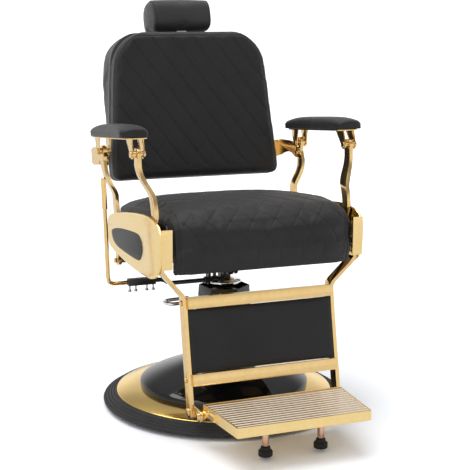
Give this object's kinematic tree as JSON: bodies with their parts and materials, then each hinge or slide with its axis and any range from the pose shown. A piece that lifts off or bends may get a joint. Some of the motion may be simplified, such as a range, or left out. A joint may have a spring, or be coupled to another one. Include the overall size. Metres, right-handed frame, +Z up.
{
  "type": "hydraulic barber chair",
  "caption": "Hydraulic barber chair with a round foot, a swivelling quilted seat, a reclining back with a headrest, armrests that stay level and a folding footrest.",
  "frame": {"origin": "on the floor at the centre of the round base, on the axis that the seat turns about", "axes": "+Z up, -Y the way the sitter faces, +X to the right of a viewer who stands in front of the sitter and looks at the chair"},
  "size_m": [0.6995, 0.9769, 1.1124],
  "materials": {
    "ring_rubber": "satin, moulded rings",
    "foot_rubber": "satin",
    "cast_iron": "painted, matt",
    "gold": "gold-coloured mirror plating",
    "gold_cast": "gold-coloured, finely polished",
    "rose_steel": "gold-coloured, polished",
    "gloss_black": "high gloss",
    "inset_black": "satin",
    "black_steel": "semi-gloss powder coat",
    "steel": "zinc plated",
    "chrome": "mirror chrome",
    "bronze": "machined",
    "plywood": "raw plywood",
    "leather": "matt grained upholstery leather"
  },
  "bodies": {
    "base": {"floor_ring": "ring_rubber", "base_plate": "cast_iron", "base_cover": "gold", "bell_cover": "gloss_black", "column_cover": "gloss_black", "pump_cylinder": "black_steel", "flange_bolts": "steel", "gland_ring": "steel", "pump_block": "cast_iron", "pedal_pin": "steel", "plunger_spring": "steel"},
    "plunger": {"plunger": "steel"},
    "pedal": {"pedal": "chrome"},
    "ram": {"ram": "chrome", "thrust_washer": "bronze"},
    "seat": {"seat_mount": "black_steel", "mount_bolts": "steel", "cross_rails": "black_steel", "side_plates": "black_steel", "seat_board": "plywood", "seat_cushion": "leather", "housing_left": "gold_cast", "housing_right": "gold_cast", "housing_insets": "inset_black", "pivot_pins": "steel"},
    "strut": {"strut_body": "black_steel"},
    "strut_rod": {"strut_rod": "chrome"},
    "lever": {"lever_shaft": "black_steel", "clamp_sleeve": "black_steel", "clamp_screws": "steel", "lever_rod": "gold"},
    "backrest": {"rear_posts": "gold", "crank_tube": "black_steel", "tube_caps": "gold", "ear_brackets": "gold", "ear_bolts": "gold", "back_board": "plywood", "back_cushion": "leather", "back_body": "leather", "headrest_socket": "steel"},
    "headrest": {"headrest_post": "chrome", "headrest_cushion": "leather"},
    "front_post_left": {"front_post_left": "gold"},
    "front_post_right": {"front_post_right": "gold"},
    "armrest_left": {"arm_plate_left": "gold", "arm_pad_left": "leather", "arm_pins_left": "gold"},
    "armrest_right": {"arm_plate_right": "gold", "arm_pad_right": "leather", "arm_pins_right": "gold"},
    "leg_rest": {"leg_bars": "gold", "leg_bands": "gold", "leg_panel": "leather", "leg_screws": "gold", "footrest_links": "gold"},
    "tie_left": {"tie_left": "black_steel"},
    "tie_right": {"tie_right": "black_steel"},
    "footrest": {"footrest_tray": "gold_cast", "foot_stems": "rose_steel", "foot_pads": "foot_rubber"}
  },
  "joints": [
    {"name": "lift", "type": "slide", "parent": "base", "child": "ram", "axis": [0, 0, 1], "range_m": [0, 0.15]},
    {"name": "swivel", "type": "hinge", "parent": "ram", "child": "seat", "pos_m": [0, 0, 0.351], "axis": [0, 0, 1], "continuous": true},
    {"name": "pedal_press", "type": "hinge", "parent": "base", "child": "pedal", "pos_m": [-0.04506, -0.00633, 0.262], "axis": [0.1392, -0.9903, 0], "range_deg": [0, 22], "stiffness_Nm_per_rad": 12, "springref_deg": -12.03, "deforming": ["plunger_spring"]},
    {"name": "plunger_stroke", "type": "slide", "parent": "base", "child": "plunger", "axis": [0, 0, 1], "range_m": [-0.0053, 0]},
    {"name": "recline", "type": "hinge", "parent": "seat", "child": "backrest", "pos_m": [0, 0.112, 0.5], "axis": [-1, 0, 0], "range_deg": [0, 30]},
    {"name": "front_post_left_swing", "type": "hinge", "parent": "seat", "child": "front_post_left", "pos_m": [-0.271, -0.193, 0.528], "axis": [-1, 0, 0], "range_deg": [0, 31]},
    {"name": "front_post_right_swing", "type": "hinge", "parent": "seat", "child": "front_post_right", "pos_m": [0.271, -0.193, 0.528], "axis": [-1, 0, 0], "range_deg": [0, 31]},
    {"name": "armrest_left_level", "type": "hinge", "parent": "backrest", "child": "armrest_left", "pos_m": [-0.2995, 0.15, 0.705], "axis": [-1, 0, 0], "range_deg": [-31, 0]},
    {"name": "armrest_right_level", "type": "hinge", "parent": "backrest", "child": "armrest_right", "pos_m": [0.2995, 0.15, 0.705], "axis": [-1, 0, 0], "range_deg": [-31, 0]},
    {"name": "leg_rest_swing", "type": "hinge", "parent": "seat", "child": "leg_rest", "pos_m": [0, -0.24, 0.47], "axis": [-1, 0, 0], "range_deg": [0, 31]},
    {"name": "tie_left_swing", "type": "hinge", "parent": "backrest", "child": "tie_left", "pos_m": [-0.26, 0.094, 0.528], "axis": [-1, 0, 0], "range_deg": [-31, 0]},
    {"name": "tie_right_swing", "type": "hinge", "parent": "backrest", "child": "tie_right", "pos_m": [0.26, 0.094, 0.528], "axis": [-1, 0, 0], "range_deg": [-31, 0]},
    {"name": "strut_swing", "type": "hinge", "parent": "seat", "child": "strut", "pos_m": [-0.045, -0.15, 0.412], "axis": [1, 0, 0], "range_deg": [0, 2.6]},
    {"name": "strut_stroke", "type": "slide", "parent": "strut", "child": "strut_rod", "axis": [0, 0.9994, -0.0343], "range_m": [-0.0505, 0]},
    {"name": "recline_lever", "type": "hinge", "parent": "seat", "child": "lever", "pos_m": [-0.045, -0.04, 0.363], "axis": [-1, 0, 0], "range_deg": [0, 18], "stiffness_Nm_per_rad": 3, "springref_deg": -20.05},
    {"name": "headrest_height", "type": "slide", "parent": "backrest", "child": "headrest", "axis": [0, 0.1736, 0.9848], "range_m": [0, 0.09]},
    {"name": "footrest_fold", "type": "hinge", "parent": "leg_rest", "child": "footrest", "pos_m": [0, -0.337, 0.086], "axis": [-1, 0, 0], "range_deg": [0, 70]}
  ],
  "couplings": [
    {"joint": "plunger_stroke", "follows": "pedal_press", "m_per_rad": -0.013},
    {"joint": "front_post_left_swing", "follows": "recline", "ratio": 1},
    {"joint": "front_post_right_swing", "follows": "recline", "ratio": 1},
    {"joint": "armrest_left_level", "follows": "recline", "ratio": -1},
    {"joint": "armrest_right_level", "follows": "recline", "ratio": -1},
    {"joint": "leg_rest_swing", "follows": "recline", "ratio": 1},
    {"joint": "tie_left_swing", "follows": "recline", "ratio": -1},
    {"joint": "tie_right_swing", "follows": "recline", "ratio": -1},
    {"joint": "strut_swing", "follows": "recline", "ratio": 0.08},
    {"joint": "strut_stroke", "follows": "recline", "m_per_rad": -0.094}
  ]
}
